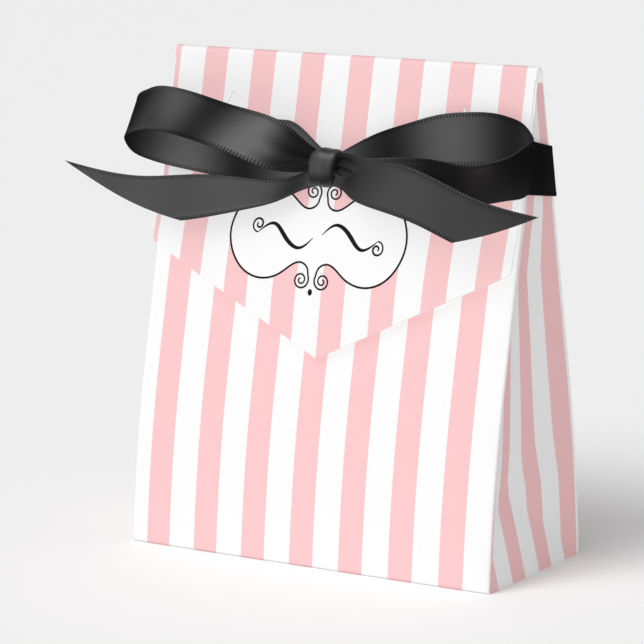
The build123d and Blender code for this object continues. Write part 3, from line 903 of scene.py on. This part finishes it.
def label():
    """A white panel with a scrolled frame and a plain flourish."""
    quarter = np.array(FRAME_QUARTER)
    half = smooth_line(np.concatenate([quarter[:0:-1], quarter * (1, -1)]), 12)
    outline = np.concatenate([half, half[::-1] * (-1, 1)])
    x, z, faces = fill(outline, step=1.2)
    printed("label_field", np.stack([x, z], 1), faces, PAPER_WHITE, PRINT_LIFT)
    (curl_x, curl_z), radius = CURL
    inwards = curl((curl_x, curl_z), radius, 1.8, math.radians(150), 1)
    frame_line = np.concatenate([inwards[::-1], half[4:-4], inwards * (1, -1)])
    dot = np.linspace(0, 2 * math.pi, 24)
    for k, side in enumerate((-1, 1)):
        stroke(f"label_frame_{k}", frame_line * (side, 1), LINE, taper=0.25)
        swash = smooth_line([(1.2, 0.4), (4.6, 3.0), (8.8, 1.0), (12.8, -2.2), (17.0, 0.2)])
        stroke(f"label_swash_{k}", swash * (side, side), 1.1, taper=0.85)
        tendril = curl((17.0, -1.7), 1.9, 1.4, math.pi / 2, -1)
        stroke(f"label_tendril_{k}", tendril * (side, side), LINE, taper=0.3)
        ring = np.stack([0.6 * np.cos(dot), side * 13.2 + 0.8 * np.sin(dot)], 1)
        x, z, faces = fill(ring[:-1], step=0.4)
        printed(f"label_dot_{k}", np.stack([x, z], 1), faces, INK, 2 * PRINT_LIFT)


# ---------------------------------------------------------------- the studio

def sun(name, azimuth, elevation, strength, softness, glossy, shaded_by):
    """A distant light. Azimuth 0 comes from -Y, and a positive one from further towards +X. Only the pieces
    that shaded_by names cast its shadow, and with none it casts no shadow."""
    light = bpy.data.lights.new(name, "SUN")
    light.energy, light.angle, light.use_shadow = strength, math.radians(softness), bool(shaded_by)
    lamp = bpy.data.objects.new(name, light)
    lamp.visible_glossy = glossy
    bpy.context.scene.collection.objects.link(lamp)
    azimuth, elevation = math.radians(azimuth), math.radians(elevation)
    flat = math.cos(elevation)
    towards = Vector((math.sin(azimuth) * flat, -math.cos(azimuth) * flat, math.sin(elevation)))
    lamp.rotation_euler = towards.to_track_quat("Z", "Y").to_euler()
    if shaded_by:
        blockers = bpy.data.collections.new(name + "_blockers")
        for piece in shaded_by:
            blockers.objects.link(bpy.data.objects[piece])
        lamp.light_linking.blocker_collection = blockers


def studio():
    """A pale floor, an even pale surrounding that doesn't show in the gloss, and the lights."""
    edge = FLOOR_HALF
    place = [(-edge, -edge, 0), (edge, -edge, 0), (edge, edge, 0), (-edge, edge, 0)]
    floor = build("floor", place, [(0, 1, 2, 3)], [0], np.zeros((4, 2)), [floor_material()])
    world = bpy.data.worlds.new("studio")
    bpy.context.scene.world = world
    world.use_nodes = True
    world.node_tree.nodes["Background"].inputs["Color"].default_value = (1, 1, 1, 1)
    world.node_tree.nodes["Background"].inputs["Strength"].default_value = WORLD_STRENGTH
    world.cycles_visibility.glossy = False
    floor.visible_glossy = False
    for light in LIGHTS:
        sun(*light)
    bpy.context.scene.view_settings.view_transform = "Standard"


def camera():
    """A long lens to the front right of the box and a little above it."""
    azimuth, elevation = math.radians(CAMERA_AZIMUTH), math.radians(CAMERA_ELEVATION)
    back = Vector((math.sin(azimuth) * math.cos(elevation), -math.cos(azimuth) * math.cos(elevation),
                   math.sin(elevation)))
    right = Vector((math.cos(azimuth), math.sin(azimuth), 0))
    up = back.cross(right)
    aim = Vector((0, 0, AIM_HEIGHT)) - right * AIM_LEFT - up * AIM_DOWN
    data = bpy.data.cameras.new("camera")
    data.lens, data.sensor_width = LENS, SENSOR
    made = bpy.data.objects.new("camera", data)
    bpy.context.scene.collection.objects.link(made)
    made.location = (aim + back * CAMERA_DISTANCE) * MM
    made.rotation_euler = (-back).to_track_quat("-Z", "Y").to_euler()
    bpy.context.scene.camera = made


CAMERA_AZIMUTH = 31.19
CAMERA_ELEVATION = 10.44
CAMERA_DISTANCE = 842.5
AIM_HEIGHT = 60.0            # the camera aims at this height over the base's middle
AIM_LEFT = 7.924             # moved this far to the picture's left
AIM_DOWN = 2.97              # and this far down
LENS = 191.4
SENSOR = 36.0
FLOOR_HALF = 4000.0          # half the floor's side
WORLD_STRENGTH = 0.38
BOX = ["front_card", "back_card", "base_card", "right_gusset_card", "left_gusset_card"]
# Name, azimuth, elevation, strength, softness, whether it shows in the gloss, and the pieces that cast its
# shadow. The bow casts none.
LIGHTS = [
    ("key", -20.0, 48.0, 1.4, 30.0, True, BOX),
    ("soft_key", -20.0, 48.0, 0.9, 60.0, True, BOX + ["flap_card", "ridge_card"]),
    ("front", -31.0, -3.0, 0.8, 24.0, True, []),
    ("side", 95.0, 5.0, 1.04, 20.0, False, []),
    ("rear", 200.0, -3.0, 0.6, 24.0, True, []),
]

camera()
front_panel()
back_panel()
ridge()
closure_flap()
base_panel()
gusset("right_gusset_card", 1)
gusset("left_gusset_card", -1)
# The glue tabs stay the CAD's own, in the uncoated card's material
for node in ("right_side_glue_tab", "left_side_glue_tab", "right_base_glue_tab", "left_base_glue_tab"):
    tab = frame["nodes"][node]
    tab.data.materials.clear()
    tab.data.materials.append(PLAIN)
for hand, line in (("left", LEFT_LOOP), ("right", RIGHT_LOOP)):
    ribbon_sheet("ribbon_loop_" + hand, run_line(line),
                 [f"ribbon_{hand}_loop"], pleats=LOOP_PLEATS, cloth=LOOP_SATIN)
for hand, line, cut in (("left", LEFT_TAIL, LEFT_CUT), ("right", RIGHT_TAIL, RIGHT_CUT)):
    ribbon_sheet("ribbon_tail_" + hand, run_line(line),
                 [f"ribbon_{hand}_tail"], cut=cut)
band()
knot()
label()
studio()
